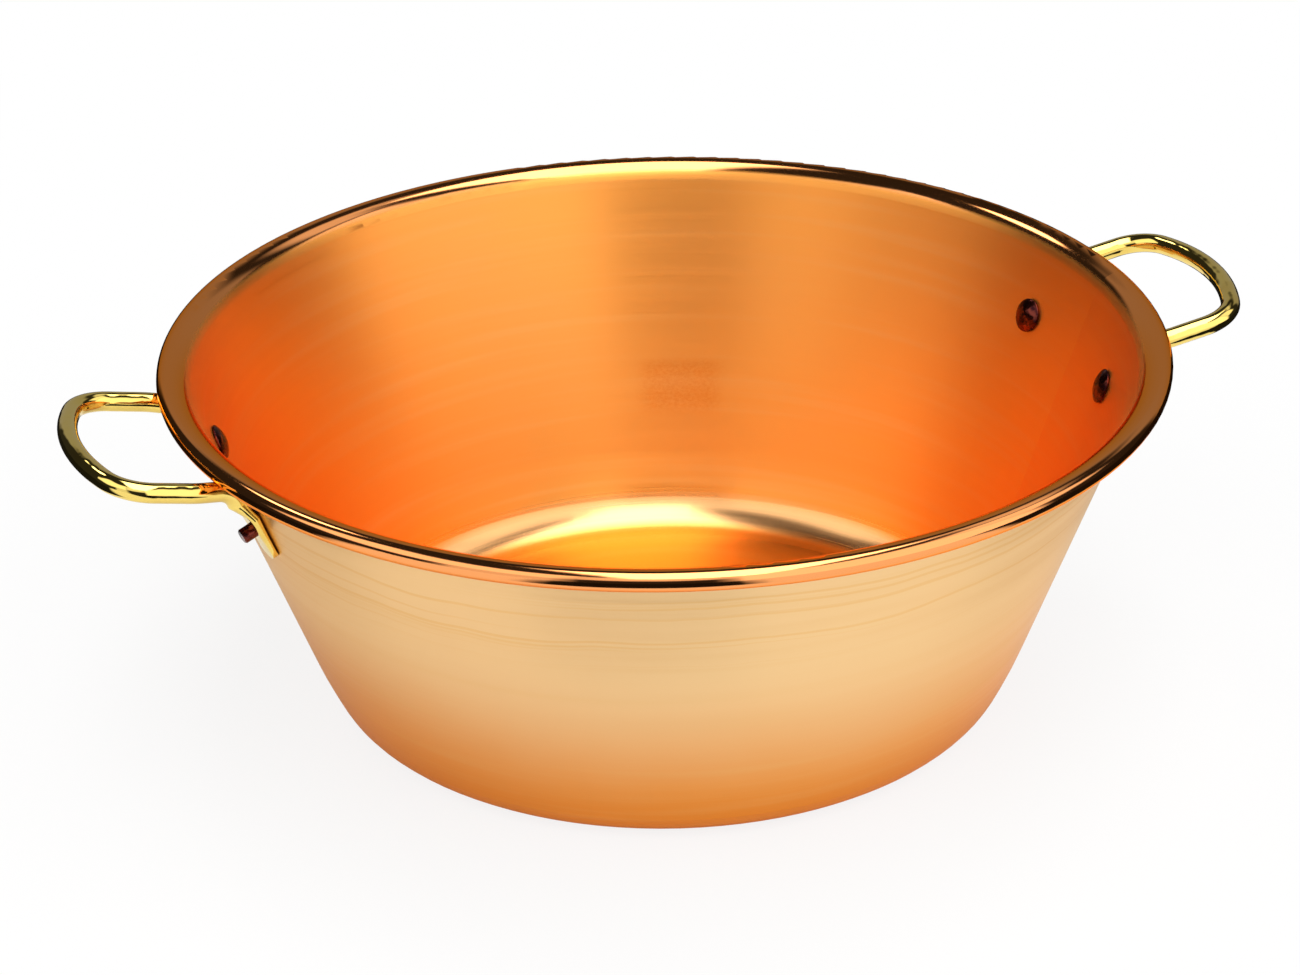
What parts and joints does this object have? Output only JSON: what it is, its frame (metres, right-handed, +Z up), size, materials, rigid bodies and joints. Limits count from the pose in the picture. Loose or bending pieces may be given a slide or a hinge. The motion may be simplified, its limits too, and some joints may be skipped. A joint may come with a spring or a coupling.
{
  "type": "jam pan",
  "caption": "Wide copper jam pan with a flared wall, a rolled wired rim and riveted brass rod handles.",
  "frame": {"origin": "centre of the flat floor's underside, at the middle of the whole pan", "axes": "+Z up, X through the middles of the two handles, Y across"},
  "size_m": [0.4828, 0.4, 0.148],
  "materials": {
    "copper": "spun satin copper, with a polished rim",
    "wire": "drawn iron wire",
    "brass": "polished brass rod",
    "rivet_copper": "polished dark copper"
  },
  "bodies": {
    "root": {"pan_body": "copper", "rim_wire": "wire", "handle_left": "brass", "handle_right": "brass", "rivet_left_front": "rivet_copper", "rivet_left_back": "rivet_copper", "rivet_right_front": "rivet_copper", "rivet_right_back": "rivet_copper"}
  },
  "joints": []
}
